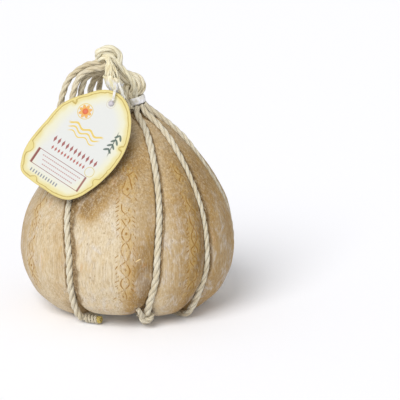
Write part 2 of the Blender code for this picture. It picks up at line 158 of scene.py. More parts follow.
# Unevenness left by hands and by its own weight. Beside each rope the solid's wide groove is filled
# up to the rope, which then presses its own narrow bed.
rope_lines = [spaced(centre_line(node), 1 * MM) for node in NET_ROPES]
rope_points = np.vstack(rope_lines)
rope_ways = np.vstack([np.gradient(line[:, :3], axis=0) for line in rope_lines])
rope_number = np.repeat(np.arange(len(rope_lines)), [len(line) for line in rope_lines])
nearest_rope = kdtree.KDTree(len(rope_points))
for i, point in enumerate(rope_points):
    nearest_rope.insert(point[:3], i)
nearest_rope.balance()
places = np.array([vert.co for vert in cheese_mesh.vertices])
crust = np.empty(len(places))
for i, vert in enumerate(cheese_mesh.vertices):
    place = vert.co.copy()
    nearest, index, distance = nearest_rope.find(place)
    number = rope_number[index]
    way = Vector(rope_ways[index]).normalized()
    around = Vector((-nearest.y, nearest.x, 0)).normalized()
    outward = around.cross(way) if way.z > 0 else way.cross(around)
    if outward.xy.dot(nearest.xy) < 0 and nearest.z > 20 * MM:
        outward = -outward
    on_right = nearest.xy.cross(place.xy) > 0
    ragged = waver((place.x, place.z, number * MM), 30, 9, 1)
    width = (CRUST_WIDTH + 1.4 * MM * ragged) * (CRUST_ON_RIGHT[number] if on_right else CRUST_ON_LEFT)
    crust[i] = np.clip(1.7 - (distance - ROPE_RADIUS) / width, 0, 1)
    lumps = waver(place, 34, 34, 34) * 0.7 + waver(place, 13, 13, 13) * 0.3
    standing = min(1, place.z / (20 * MM)) * np.clip((distance - 4 * MM) / (6 * MM), 0, 1)
    swell = standing * (lumps * 0.8 + waver(place, 5, 5, 30) * 0.2)
    swell += crust[i] * (waver(place, 2.4, 2.4, 3.4) * 0.6 - 0.2)
    place += vert.normal * (swell * MM)
    if distance < 3 * GROOVE_WIDTH:
        aside = abs((vert.co - nearest).dot(outward.cross(way).normalized()))
        fill = np.interp(place.z, GROOVE_HEIGHTS, GROOVE_FILLS)
        place += outward * (fill / (1 + (aside / GROOVE_WIDTH) ** 4))
        bed = rope_points[index, 3] - ROPE_BITE
        if aside < bed:
            place -= outward * max(0, (place - nearest).dot(outward) + math.sqrt(bed ** 2 - aside ** 2))
    places[i] = place
places[:, 2] = np.maximum(places[:, 2], 0)
cheese_mesh.vertices.foreach_set("co", places.ravel())

# Where each point lies in its lobe: how far it is across from the ornament, its height, and its
# share of the way between the two ropes.
angles = np.degrees(np.arctan2(places[:, 0], -places[:, 1])) % 360
lobe_share = np.zeros(len(places))
lobe_width = np.ones(len(places))
for lines in zip(rope_lines, rope_lines[1:] + rope_lines[:1]):
    edges = []
    for line in lines:
        order = np.argsort(line[:, 2])
        turn = np.unwrap(np.arctan2(line[order, 0], -line[order, 1]))
        edges.append(np.degrees(np.interp(places[:, 2], line[order, 2], turn)))
    width = (edges[1] - edges[0]) % 360
    along = (angles - edges[0]) % 360
    inside = along < width
    lobe_share[inside] = along[inside] / width[inside]
    lobe_width[inside] = np.radians(width[inside])
across_lobe = (lobe_share - STAMP_SHARE) * lobe_width * np.hypot(places[:, 0], places[:, 1])


def set_attribute(mesh, name, kind, values):
    """A named value on each point of a mesh, for its material to read."""
    attribute = mesh.attributes.new(name, kind, "POINT")
    field = "vector" if kind == "FLOAT_VECTOR" else "value"
    attribute.data.foreach_set(field, np.asarray(values, np.float32).ravel())


place_in_lobe = np.stack([across_lobe, places[:, 2], lobe_share], 1)
set_attribute(cheese_mesh, "place_in_lobe", "FLOAT_VECTOR", place_in_lobe)
set_attribute(cheese_mesh, "crust", "FLOAT", crust)
cheese_mesh.shade_smooth()


class Field:
    """A value that changes over a surface: a shader socket that adds and multiplies like a number."""

    def __init__(self, tree, socket):
        self.tree = tree
        self.socket = socket

    def __add__(self, other):
        return maths("ADD", self, other)

    def __sub__(self, other):
        return maths("SUBTRACT", self, other)

    def __rsub__(self, other):
        return maths("SUBTRACT", other, self)

    def __mul__(self, other):
        return maths("MULTIPLY", self, other)

    def __truediv__(self, other):
        return maths("DIVIDE", self, other)

    def __abs__(self):
        return maths("ABSOLUTE", self)


def add_node(tree, kind, sockets=None, **settings):
    """A shader node with its settings; each socket takes a value, a field or a node's output."""
    made = tree.nodes.new(kind)
    for name, value in settings.items():
        setattr(made, name, value)
    for socket, value in (sockets or {}).items():
        value = value.socket if isinstance(value, Field) else value
        if isinstance(value, bpy.types.NodeSocket):
            tree.links.new(value, made.inputs[socket])
        else:
            made.inputs[socket].default_value = value
    return made


def field_of(tree, kind, sockets=None, output=0, **settings):
    """What a new node gives over the surface."""
    return Field(tree, add_node(tree, kind, sockets, **settings).outputs[output])


def maths(operation, *values, clamp=False):
    tree = next(value.tree for value in values if isinstance(value, Field))
    return field_of(tree, "ShaderNodeMath", dict(enumerate(values)), operation=operation, use_clamp=clamp)


def span(value, low, high, to_low=0.0, to_high=1.0):
    """Maps a field from low and high to new ends with a soft step, and holds it there beyond."""
    sockets = {"Value": value, "From Min": low, "From Max": high, "To Min": to_low, "To Max": to_high}
    return field_of(value.tree, "ShaderNodeMapRange", sockets, "Result", interpolation_type="SMOOTHSTEP")


def mixed(amount, first, second):
    """The second colour mixed into the first by an amount from 0 to 1."""
    sockets = {0: amount, 6: first, 7: second}
    return field_of(amount.tree, "ShaderNodeMix", sockets, 2, data_type="RGBA")


def srgb(red, green, blue):
    """A colour as the eye names it, 0 to 255, in the linear values that shaders work in."""
    steps = [value / 255 for value in (red, green, blue)]
    return (*[s / 12.92 if s <= 0.04045 else ((s + 0.055) / 1.055) ** 2.4 for s in steps], 1)


def layered(colour, *layers):
    """A colour with layers laid over it in turn, each an amount and a tint as the eye names it."""
    for amount, *tint in layers:
        colour = mixed(amount, colour, srgb(*tint))
    return colour


def apart(place):
    """The three parts of a place."""
    node = add_node(place.tree, "ShaderNodeSeparateXYZ", {0: place})
    return [Field(place.tree, output) for output in node.outputs]


def stretched(place, scale):
    """A place scaled by a different amount along each axis."""
    return field_of(place.tree, "ShaderNodeVectorMath", {0: place, 1: scale}, operation="MULTIPLY")


def cloud(place, scale, detail=3.0, roughness=0.55, distortion=0.0, drawn=1.0):
    """Soft noise from 0 to 1, with this many features to the metre; drawn is how many of them
    there are along z for each one across."""
    sockets = {"Vector": stretched(place, (1, 1, drawn)), "Scale": scale, "Detail": detail,
               "Roughness": roughness, "Distortion": distortion}
    return field_of(place.tree, "ShaderNodeTexNoise", sockets, "Fac")


def read(tree, name, output="Fac"):
    """A value that the mesh carries on its points."""
    return field_of(tree, "ShaderNodeAttribute", None, output, attribute_name=name)


def object_place(tree):
    return field_of(tree, "ShaderNodeTexCoord", None, "Object")


def new_material(name, roughness=0.7, **shader_values):
    """A material with its Principled shader; the values that hold all over go on its own sockets."""
    made = bpy.data.materials.new(name)
    made.use_nodes = True
    shader = made.node_tree.nodes["Principled BSDF"]
    shader.inputs["Roughness"].default_value = roughness
    for socket, value in shader_values.items():
        shader.inputs[socket.replace("_", " ").title().replace("Ior", "IOR")].default_value = value
    return made, made.node_tree, shader


def finish_with(shader, colour, height, distance, strength=1.0, roughness=None):
    """Joins a colour, a relief height and, where given, a roughness to the shader."""
    relief = {"Height": height, "Distance": distance, "Strength": strength}
    relief = field_of(colour.tree, "ShaderNodeBump", relief, "Normal")
    for name, field in (("Base Color", colour), ("Normal", relief), ("Roughness", roughness)):
        if field:
            colour.tree.links.new(field.socket, shader.inputs[name])


# The rind is more brown high up and at random. Painted shade makes it darker and more brown at its far sides
# and to the right in each lobe, and a painted shadow of the tag lies in a broad patch past its lower right
# edge.
tag_low, tag_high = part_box("tag")
TAG_EDGE = Vector((tag_high.x - 8 * MM, 0, tag_low.z + 42 * MM))  # a place on its lower right edge
rind, tree, shader = new_material("rind", roughness=0.66, ior=1.4, specular_ior_level=0.3)
place = object_place(tree)
right, back, up = apart(place)
across_lobe, up_lobe, in_lobe = apart(read(tree, "place_in_lobe", "Vector"))
broad = cloud(place, 26, 4, 0.6, drawn=0.5)
high = span(up, 70 * MM, 170 * MM, -0.1, 0.1)
# Painted shade: darker and more brown toward the right of each lobe, where it turns from the light, most low
# down and on the front.
rightward_shade = span(in_lobe, 0.5, 1.0, -0.05, 0.5) * span(right, -60 * MM, -10 * MM, 0.15, 1.0)
rightward_shade *= span(up, 110 * MM, 60 * MM, 0.6, 2.8) * span(back, -15 * MM, -65 * MM, 0.1, 1.0)
# A painted shadow of the tag: a band past its lower right edge, ragged at its border, made darker and more
# brown, fading away from the edge and toward both ends.
to_right = right - TAG_EDGE.x
to_top = up - TAG_EDGE.z
past_tag = (to_right - to_top) * math.sqrt(0.5) + (broad - 0.5) * (14 * MM)
along_tag = (to_right + to_top) * math.sqrt(0.5)
painted_tag_shadow = span(past_tag, 33 * MM, 6 * MM, 0.0, 1.3) * span(along_tag, -76 * MM, -58 * MM)
painted_tag_shadow *= span(along_tag, 14 * MM, -14 * MM, 0.1, 1.0)
# Painted shade at the left edge and on the right side, less near the top on the right, where the rind turns
# from the light; these and the tag's painted shadow fade toward the back.
left_edge_shade = span(right, -68 * MM, -125 * MM, 0.0, 0.8)
right_side_shade = span(right, 10 * MM, 60 * MM, 0.0, 0.68) * span(up, 172 * MM, 142 * MM, 0.4, 1.0)
sides = (left_edge_shade + right_side_shade + painted_tag_shadow) * span(back, 60 * MM, -55 * MM)
# Brown tone and painted shade together.
brown_and_shade = broad + high + sides + rightward_shade
colour = mixed(span(brown_and_shade, 0.35, 1.1), srgb(204, 187, 156), srgb(166, 133, 80))

# Blotches: the deepest brown, where brown tone and painted shade add up most, lilac-white bloom low on the
# belly, ochre and rust stains.
bloom = cloud(place, 75, 5, 0.65, 0.8, drawn=0.6)
belly = span(up, 150 * MM, 70 * MM, 0.15, 0.8) * span(in_lobe, 0.95, 0.5, 0.4, 1.0)
stain = cloud(place, 62, 5, 0.68, 0.8, drawn=0.45)
rust = cloud(place, 95, 4, 0.6, 0.5, drawn=0.5)
colour = layered(
    colour,
    (span(brown_and_shade, 0.95, 1.6), 134, 102, 52),
    (span(bloom, 0.46, 0.72) * belly, 206, 199, 190),
    (span(stain, 0.52, 0.7, 0.0, 0.46), 190, 156, 96),
    (span(rust, 0.6, 0.72, 0.0, 0.36), 196, 148, 100),
)

# Its fine grain runs up and down, dark and pale. Pits, flakes, hairs and specks come over it.
fine = cloud(place, 900, 4, 0.7, drawn=0.25)
lines = cloud(place, 820, 2, 0.6, 0.2, drawn=0.035)
mottle = cloud(place, 260, 4, 0.7, drawn=0.5)
# The dapple lies high up and in the painted shadow of the tag.
rough = maths("MAXIMUM", span(up, 95 * MM, 150 * MM), painted_tag_shadow)
dapple = cloud(place, 520, 4, 0.75, drawn=0.6)
hairs = span(abs(cloud(place, 240, 2, drawn=0.07) - 0.5), 0.014, 0.004, 0.0, 0.4)
cells = {"Vector": stretched(place, (1, 1, 0.55)), "Scale": 200}
specks = span(field_of(tree, "ShaderNodeTexVoronoi", cells, "Distance"), 0.175, 0.105, 0.0, 0.6)
colour = layered(
    colour,
    (span(mottle, 0.5, 0.7, 0.0, 0.3), 170, 140, 96),
    (span(mottle, 0.48, 0.32, 0.0, 0.22), 216, 208, 194),
    (span(lines, 0.5, 0.66, 0.0, 0.36), 150, 126, 90),
    (span(lines, 0.48, 0.32, 0.0, 0.2), 222, 213, 194),
    (span(fine, 0.52, 0.66, 0.0, 0.34), 146, 120, 84),
    (span(fine, 0.46, 0.34, 0.0, 0.24), 224, 216, 198),
    (span(dapple, 0.5, 0.64, 0.0, 0.5) * rough, 122, 98, 62),
    (span(dapple, 0.48, 0.36, 0.0, 0.4) * rough, 208, 188, 150),
    (hairs * span(bloom, 0.4, 0.6), 132, 116, 96),
    (specks * span(cloud(place, 70, 2), 0.5, 0.6), 126, 104, 78),
)

# The pressed ornament: two waves that cross like a chain, a dot in each eye and short slanting
# ticks at both sides, ochre where the iron pressed and half worn away.
WAVE_REACH = 4.1 * MM
WAVE_LENGTH = 27 * MM
u = across_lobe + (cloud(place, 60, 2) - 0.5) * (5 * MM)
v = up_lobe + cloud(place, 25, 2) * (30 * MM)
wave = maths("COSINE", v * (math.tau / WAVE_LENGTH)) * WAVE_REACH
to_eye = maths("PINGPONG", v, WAVE_LENGTH / 4)
slant = maths("PINGPONG", v + abs(u), 2.2 * MM)
waves = span(maths("MINIMUM", abs(u - wave), abs(u + wave)), 0.85 * MM, 0.35 * MM)
dots = span(maths("SQRT", u * u + to_eye * to_eye), 1.5 * MM, 0.9 * MM)
ticks = span(slant, 0.8 * MM, 0.3 * MM) * span(abs(abs(u) - 7.6 * MM), 1.5 * MM, 1.1 * MM)
worn = span(cloud(place, 110, 5, 0.75, drawn=0.7), 0.41, 0.57)
worn *= span(up_lobe, 26 * MM, 34 * MM) * span(up_lobe, 158 * MM, 146 * MM)
strokes = maths("MAXIMUM", maths("MAXIMUM", waves, dots), ticks) * worn
halo = span(abs(u), 10 * MM, 4 * MM, 0.0, 0.4) * worn
colour = layered(colour, (halo, 196, 162, 92), (strokes * 0.92, 148, 106, 44))

# The brown crust beside the ropes, crumbling and flecked with pale mould, and a small fresh nick in
# front, where the rind is scratched through to the paler cheese.
in_crust = read(tree, "crust")
crumbs = cloud(place, 430, 4, 0.75, drawn=0.7)
NICK = Vector((13 * MM, 0, 72 * MM))
NICK_TURN = 0.45
along_nick = (right - NICK.x) * math.cos(NICK_TURN) + (up - NICK.z) * math.sin(NICK_TURN)
across_nick = (up - NICK.z) * math.cos(NICK_TURN) - (right - NICK.x) * math.sin(NICK_TURN)
long = along_nick / (3.4 * MM)
wide = across_nick / (0.7 * MM)
nick = span(maths("SQRT", long * long + wide * wide), 1.0, 0.6) * span(back, 0.0, -30 * MM)
colour = layered(
    colour,
    (span((crumbs - 0.5) * 3 + in_crust, 0.25, 0.85, 0.0, 0.85), 126, 101, 64),
    (span(crumbs, 0.5, 0.4, 0.0, 0.75) * in_crust, 80, 58, 34),
    (span(crumbs, 0.55, 0.63, 0.0, 0.5) * in_crust, 206, 190, 162),
    (nick, 222, 194, 142),
)
height = fine * 0.6 + lines * 0.6 + mottle * 0.8 - strokes * 0.8 - nick + crumbs * in_crust * 3
finish_with(shader, colour, height, 0.4 * MM, 0.6, span(fine, 0.3, 0.7, 0.55, 0.78))


def mesh_piece(name, mesh, material, slot, *nodes):
    """A piece of the model on the one body, standing for the CAD nodes named."""
    mesh.name = name
    mesh.materials.append(material)
    piece = put_in_scene(name, mesh)
    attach(piece, "root")
    if nodes:
        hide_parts(*nodes)


mesh_piece("cheese_rind", cheese_mesh, rind, "rind", "cheese")


# ---- The net ropes ----
# Eight ropes of three strands of pale natural fibre, 7 mm thick and laid right-handed. They are
# pulled thin at the neck, sink into the cheese over its shoulder, and turn in under its foot.

ROPE_LAY = 29.5 * MM  # the length in which a strand goes once round
ROPE_STEP = 1.5 * MM
STRAND_OUT = 0.4  # the middle of a strand and its radius, as shares of the rope's radius
STRAND_SIZE = 0.6
SIZE_HEIGHTS = np.array([60, 115, 155, 180]) * MM
SIZES = [1, 0.88, 0.9, 1.02]  # a rope's thickness at those heights, against its solid's
NECK_HEIGHTS = np.array([166, 182, 189, 194]) * MM
NECK_RADII = np.array([0, 3.2, 3.1, 2.4]) * MM  # the least that a rope has at the neck
PULLED_STRAIGHT = 0.6  # how near to a straight line the ropes run at the neck


def way_round(angle, across, beside):
    """The way out at an angle, between two ways that stand square to each other."""
    return across * math.cos(angle) + beside * math.sin(angle)


def carried(path, across=None):
    """Each point of a path, with its way on and two ways across that are carried untwisted."""
    middles = [Vector(row[:3]) for row in path]
    for before, middle, after in zip(middles[:1] + middles, middles, middles[1:] + middles[-1:]):
        way_on = (after - before).normalized()
        across = way_on.orthogonal() if across is None else across
        across = (across - way_on * across.dot(way_on)).normalized()
        yield middle, way_on, across, way_on.cross(across)


def tube_faces(rings, sides, first=0, turned=False, close_first=True, close_last=True):
    """The faces of a tube of rings of points, from the first point's number on."""
    faces = []
    for ring in range(first, first + (rings - 1) * sides, sides):
        for j in range(sides):
            k = (j + 1) % sides
            faces.append((ring + j, ring + k, ring + sides + k, ring + sides + j))
    last = first + (rings - 1) * sides
    if close_first:
        faces.append(tuple(range(first + sides - 1, first - 1, -1)))
    if close_last:
        faces.append(tuple(range(last, last + sides)))
    return [face[::-1] for face in faces] if turned else faces


def new_mesh(points, faces, sharp_degrees=None):
    """A smooth mesh, with its edges kept crisp where they are sharper than an angle."""
    mesh = bpy.data.meshes.new("part")
    mesh.from_pydata(points, [], faces)
    mesh.shade_smooth()
    if sharp_degrees:
        mesh.set_sharp_from_angle(angle=math.radians(sharp_degrees))
    return mesh


def lay_rope(rows, strands=3, lay=ROPE_LAY, turn=0.0, sides_a_strand=8, step=ROPE_STEP):
    """A twisted rope along rows of x, y, z and radius. Its skin follows the strands, and carries
    where each point lies on the rope and how far it stands out of the grooves."""
    path = spaced(rows, step)
    sides = strands * sides_a_strand
    lobe = math.pi / strands
    skin = []
    place_on_rope = []
    crowns = []
    for (middle, _, across, beside), run, radius in zip(carried(path), run_along(path), path[:, 3]):
        for j in range(sides):
            held = math.tau * j / sides
            from_crown = (held + lobe) % (2 * lobe) - lobe
            out = STRAND_OUT * math.cos(from_crown)
            out += math.sqrt(STRAND_SIZE ** 2 - (STRAND_OUT * math.sin(from_crown)) ** 2)
            angle = held + turn + math.tau * run / lay
            skin.append(middle + way_round(angle, across, beside) * (radius * out))
            place_on_rope.append((radius * math.cos(angle), radius * math.sin(angle), run))
            crowns.append(out)
    mesh = new_mesh(skin, tube_faces(len(path), sides))
    set_attribute(mesh, "place_on_rope", "FLOAT_VECTOR", place_on_rope)
    set_attribute(mesh, "crown", "FLOAT", np.interp(crowns, [min(crowns), max(crowns)], [0, 1]))
    return mesh


def fields_of(tree, node):
    return {output.name: Field(tree, output) for output in node.outputs}


def new_group(name, inputs, outputs):
    """A group of shader nodes and what it is given; each socket comes with its kind."""
    group = bpy.data.node_groups.new(name, "ShaderNodeTree")
    for in_out, sockets in (("INPUT", inputs), ("OUTPUT", outputs)):
        for socket, kind in sockets.items():
            group.interface.new_socket(socket, in_out=in_out, socket_type=f"NodeSocket{kind}")
    return group, fields_of(group, add_node(group, "NodeGroupInput"))


def use_group(tree, group, values):
    """What a group gives in a material, from the material's own values."""
    return fields_of(tree, add_node(tree, "ShaderNodeGroup", values, node_tree=group))


# Natural fibre: yarns along the rope, paler on the crowns, darker in the grooves and between the yarns,
# partly dust and partly painted shade.
inputs = {"Pale": "Color", "Deep": "Color", "Groove": "Color"}
inputs.update({"Yarns": "Float", "Stray": "Float", "Groove Dust And Shade": "Float"})
laid_fibre, given = new_group("laid fibre", inputs, {"Colour": "Color", "Height": "Float"})
on_rope = read(laid_fibre, "place_on_rope", "Vector")
across, beside, _ = apart(on_rope)
phase = maths("ARCTAN2", beside, across) * given["Yarns"] + cloud(on_rope, 260, 2, drawn=0.5) * 5
yarn = maths("SINE", phase) * 0.5 + 0.5
hair = cloud(on_rope, 2600, 3, 0.65, drawn=0.08)
colour = mixed(span(cloud(on_rope, 75, 3, 0.6), 0.36, 0.64), given["Deep"], given["Pale"])
colour = mixed(span(hair, 0.4, 0.62, 0.32, 0.0), colour, given["Groove"])
colour = layered(colour, (span(hair, 0.56, 0.7, 0.0, given["Stray"]), 247, 240, 220))
colour = mixed(span(yarn, 0.35, 0.0, 0.0, 0.3), colour, given["Groove"])
# Dust and painted shade in the grooves between the strands.
groove_dust_and_shade = span(read(laid_fibre, "crown"), 0.5, 0.02, 0.0, given["Groove Dust And Shade"])
colour = mixed(groove_dust_and_shade, colour, given["Groove"])
add_node(laid_fibre, "NodeGroupOutput", {"Colour": colour, "Height": yarn * 0.9 + hair * 0.5})


def fibre_material(name, pale, deep, groove, yarns=11, stray=0.25, groove_dust_and_shade=0.85):
    """Laid fibre of three colours; yarns is how many show round a rope."""
    made, tree, shader = new_material(name, roughness=0.86, ior=1.4, sheen_weight=0.25, sheen_roughness=0.6)
    values = {"Pale": srgb(*pale), "Deep": srgb(*deep), "Groove": srgb(*groove),
              "Yarns": yarns, "Stray": stray, "Groove Dust And Shade": groove_dust_and_shade}
    fibre = use_group(tree, laid_fibre, values)
    finish_with(shader, fibre["Colour"], fibre["Height"], 0.22 * MM)
    return made


net_fibre = fibre_material("net rope", (227, 220, 199), (215, 203, 175), (150, 134, 102), groove_dust_and_shade=0.55)
for i, (node, line) in enumerate(zip(NET_ROPES, rope_lines)):
    rows = line.copy()
    heights = rows[:, 2]
    rows[:, 3] *= np.interp(heights, SIZE_HEIGHTS, SIZES)
    rows[:, 3] = np.maximum(rows[:, 3], np.interp(heights, NECK_HEIGHTS, NECK_RADII))
    first, last = sorted((np.argmax(heights), np.argmin(np.abs(heights - NECK_HEIGHTS[0]))))
    straight = np.linspace(rows[first, :3], rows[last, :3], last - first + 1)
    rows[first:last + 1, :3] += PULLED_STRAIGHT * (straight - rows[first:last + 1, :3])
    for row in rows:
        row[3] *= 1 + 0.07 * waver((row[2], 3.1 * i * MM, 0), 11, 1, 1)
    mesh_piece(f"net_rope_{i + 1}", lay_rope(rows, turn=1.3 * i), net_fibre, "rope", node)


# ---- The ring under the cheese ----
# The eight ropes end on a ring of the same rope, where they are made fast. It is drawn into a
# hollow under the cheese.

ring_low, ring_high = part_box("base_ring")
ring_rope = (ring_high.z - ring_low.z) / 2
ring_reach = (ring_high.x - ring_low.x) / 2 - ring_rope
ring_rows = []
for angle in np.linspace(0, math.tau, 49):
    x, y = ring_reach * math.cos(angle), ring_reach * math.sin(angle)
    ring_rows.append((x, y, ring_low.z + ring_rope, ring_rope))
mesh_piece("ring_of_rope", lay_rope(ring_rows), net_fibre, "rope", "base_ring")


# ---- The band at the neck ----
# A strap of thin white plastic, wound round the gathered ropes and pulled tight, so that it bulges
# over them and its edges waver.

TO_FRONT = Vector((0, -1, 0))
SLEEVE_SIDES = 72
STRAP_BULGE = 0.5 * MM


def sleeve(rows, thick, crease, seed, slant=0.0, lean=0.0):
    """A thin creased sheet wrapped into a tube; rows give its middle points and outer radii. Its
    first edge is cut aslant and wavers."""
    outside = []
    inside = []
    shares = np.linspace(0, 1, len(rows))
    for share, row, (middle, way_on, across, beside) in zip(shares, rows, carried(rows, TO_FRONT)):
        for j in range(SLEEVE_SIDES):
            angle = math.tau * j / SLEEVE_SIDES
            way = way_round(angle, across, beside)
            fold = noise.noise(Vector((2.4 * way.x, 2.4 * way.y, 2.5 * share + seed)))
            fold += 0.5 * noise.noise(Vector((6 * way.x, 6 * way.y, 4 * share + seed)))
            wavering = abs(slant) * 0.6 * noise.noise(Vector((3 * way.x, 3 * way.y, seed + 7)))
            place = middle + way_on * ((slant * math.cos(angle - lean) + wavering) * (1 - share))
            out = row[3] + fold * crease
            outside.append(place + way * out)
            inside.append(place + way * (out - thick))
    count = len(outside)
    faces = tube_faces(len(rows), SLEEVE_SIDES, close_first=False, close_last=False)
    faces += tube_faces(len(rows), SLEEVE_SIDES, count, turned=True, close_first=False, close_last=False)
    last = count - SLEEVE_SIDES
    for j in range(SLEEVE_SIDES):
        k = (j + 1) % SLEEVE_SIDES
        faces.append((k, j, count + j, count + k))
        faces.append((last + j, last + k, count + last + k, count + last + j))
    mesh = new_mesh(outside + inside, faces)
    set_attribute(mesh, "share", "FLOAT", np.tile(np.repeat(shares, SLEEVE_SIDES), 2))
    return mesh


# Thin soft plastic, creased, with a little rope dust in the creases. Where it lies clear on the
# yarns under it, near its first edge, it shows their colour.
inputs = {"Clean": "Color", "Stained": "Color", "Stretch": "Vector", "Clear": "Float"}
outputs = {"Colour": "Color", "Creases": "Float", "Roughness": "Float"}
thin_plastic, given = new_group("thin plastic", inputs, outputs)
place = object_place(thin_plastic)
dust = cloud(stretched(place, given["Stretch"]), 190, 4, 0.6, 0.8)
colour = mixed(span(dust, 0.42, 0.62), given["Clean"], given["Stained"])
yarns = span(cloud(place, 700, 2, drawn=0.12), 0.4, 0.6)
shown = (dust - 0.5) * 1.2 + read(thin_plastic, "share")
colour = mixed(
    span(shown, 0.0, 0.34, given["Clear"], 0.0), colour,
    mixed(yarns, srgb(206, 190, 148), srgb(240, 232, 202)),
)
results = {"Colour": colour, "Creases": cloud(place, 420, 3, 0.5, 1.0),
           "Roughness": span(dust, 0.3, 0.7, 0.3, 0.5)}
add_node(thin_plastic, "NodeGroupOutput", results)


def plastic_material(name, clean, stained, stretch, clear=0.0):
    """Thin plastic of two colours; stretch draws out its stains, clear is how far it is see-through."""
    made, tree, shader = new_material(name, roughness=0.38, subsurface_weight=0.25)
    shader.inputs["Subsurface Radius"].default_value = (0.6 * MM, 0.6 * MM, 0.5 * MM)
    values = {"Clean": srgb(*clean), "Stained": srgb(*stained), "Stretch": stretch, "Clear": clear}
    plastic = use_group(tree, thin_plastic, values)
    finish_with(shader, plastic["Colour"], plastic["Creases"], 0.35 * MM, 0.8, plastic["Roughness"])
    return made


band_points = np.array([vert.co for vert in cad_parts["neck_band"].data.vertices])
band_centre = (band_points.max(0) + band_points.min(0)) / 2
band_centre[1] = 0
bunch_line = centre_line("rope_bunch", (0, 0, 1))
in_band = bunch_line[np.abs(bunch_line[:, 2] - band_centre[2]) < 4.5 * MM]
band_axis = in_band[-1, :3] - in_band[0, :3]
band_axis /= np.linalg.norm(band_axis)
along_band = (band_points - band_centre) @ band_axis
from_axis = band_points - band_centre - along_band[:, None] * band_axis
band_radius = np.linalg.norm(from_axis, axis=1).max()
band_rows = []
for share in np.linspace(-1, 1, 14):
    middle = band_centre + band_axis * (along_band.max() * share)
    bulge = STRAP_BULGE * math.sqrt(1 - share ** 2)
    band_rows.append((*middle, band_radius - STRAP_BULGE + bulge))
strap_plastic = plastic_material("strap plastic", (236, 235, 237), (222, 218, 206), (1, 1, 1))
band_mesh = sleeve(band_rows, thick=0.6 * MM, crease=0.5 * MM, seed=1.0, slant=0.5 * MM)
mesh_piece("neck_strap", band_mesh, strap_plastic, "band", "neck_band")


# ---- The bunch above the band ----
# The gathered ropes stand up through the band, bend over to the left and run into the knot: the
# net's own ropes, slack, side by side and over each other. One lies in front of the rest, one is
# turned back on itself at the left, and one passes the strap outside.

BUNCH_ROPES = 7
BUNCH_ROPE = 3.1 * MM
# Steps from the middle of the bunch: a height on it, then how far to the right, back and up, in
# millimetres. After them, places from the middle of the knot, right, back and up.
TURNED_BACK = [(216, -4, 4, 0), (214, -9.4, 1, 0), (210, -9.2, -5, 0), (206, -7.2, -5.6, 0),
               (203.2, -4.4, -3, 0), (201, 0, 0, 0)]
SLACK = [(221, -5, -1, 0), (215, -15.6, 0, 0), (209, -15, -2, 0), (203.5, -12, -3.5, 0),
         (199, -10.2, -4, 0), (194.5, -9, -5, 0), (190, -8.4, -8, 0)]
BEHIND = [(218, -6, 6, 0), (211, -9.8, 6.5, 0), (204, -7.6, 6, 0), (198, -4.5, 4.5, 0)]
IN_FRONT = [(230.2, 0.4, -6.5, 9), (224.7, 2, -6.8, 5.5), (220, 0.4, -8, 1), (213.5, -2.2, -8.2, 1),
            (206.6, 0, -6.2, 1.5), (202.5, 0, -3, 0)]
OVER_KNOT = [(-9, -6, 1), (-7, -8, 5), (-1, -9, 8), (6, -8, 7.6), (11, -7, 2.5), (11.6, -6.5, -4),
             (10.4, -3, -10), (9, 1, -15)]
# These are the net's own rope, coloured paler than the net ropes: painted light, for the light that falls on
# the bunch, the knot and the strands in front.
lit_bunch_fibre = fibre_material("lit bunch rope", (248, 243, 222), (238, 228, 196), (156, 134, 90), groove_dust_and_shade=0.7)
lit_pale_fibre = fibre_material("lit pale rope", (247, 244, 224), (240, 233, 203), (166, 147, 102), groove_dust_and_shade=0.55)
knot_low, knot_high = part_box("top_knot")
knot_middle = (knot_low + knot_high) / 2


def joined(parts):
    """One mesh of several."""
    bm = bmesh.new()
    for part in parts:
        bm.from_mesh(part)
        bpy.data.meshes.remove(part)
    mesh = bpy.data.meshes.new("parts")
    bm.to_mesh(mesh)
    bm.free()
    mesh.shade_smooth()
    return mesh


def row_from(place, step, radius):
    """A row of a rope: a place moved right, back and up by millimetres, and the radius there."""
    return (*(Vector(place) + Vector(step) * MM), radius)


bunch_axes = bunch_line[np.argsort(bunch_line[:, 2]), :3].T
bunch_heights = bunch_axes[2]


def beside_bunch(steps, radius):
    """Rows beside the middle of the bunch, one for each step."""
    rows = []
    for height, *step in steps:
        spot = [np.interp(height * MM, bunch_heights, axis) for axis in bunch_axes]
        rows.append(row_from(spot, step, radius))
    return rows


# One rope in the middle and the rest round it. The seed fixes the wander of these ropes and of the
# yarns further on.
noise.seed_set(3)
into_knot = row_from(knot_middle, (3, 0, -5), 4.6 * MM)
bunch_path = spaced(np.vstack([bunch_line[2:], [into_knot]]), 2.5 * MM)
run = run_along(bunch_path)
routes = [[] for _ in range(BUNCH_ROPES)]
for i, (middle, _, across, beside) in enumerate(carried(bunch_path, TO_FRONT)):
    size = min(BUNCH_ROPE, bunch_path[i, 3] / 2.35)
    for k in range(BUNCH_ROPES):
        angle = math.tau * k / (BUNCH_ROPES - 1) + 1.2 * run[i] / run[-1]
        reach = max(bunch_path[i, 3] - size, 0) if k else 0
        push = noise.noise_vector(Vector((7.3 * k + 4, run[i] / (12 * MM), 4))) * MM
        spot = middle + way_round(angle, across, beside) * reach
        routes[k].append((*(spot + across * push.x + beside * push.y), size))
bunch_parts = [lay_rope(route, lay=34 * MM, turn=2.1 * k) for k, route in enumerate(routes)]
for steps, radius in ((TURNED_BACK, 3.4 * MM), (SLACK, 2.5 * MM), (BEHIND, 3 * MM)):
    bunch_parts.append(lay_rope(beside_bunch(steps, radius), turn=1.0))
mesh_piece("rope_bunch_strands", joined(bunch_parts), lit_bunch_fibre, "rope", "rope_bunch")
front_rows = [row_from(knot_middle, (3, -5, -1), 2.7 * MM)] + beside_bunch(IN_FRONT, 2.7 * MM)
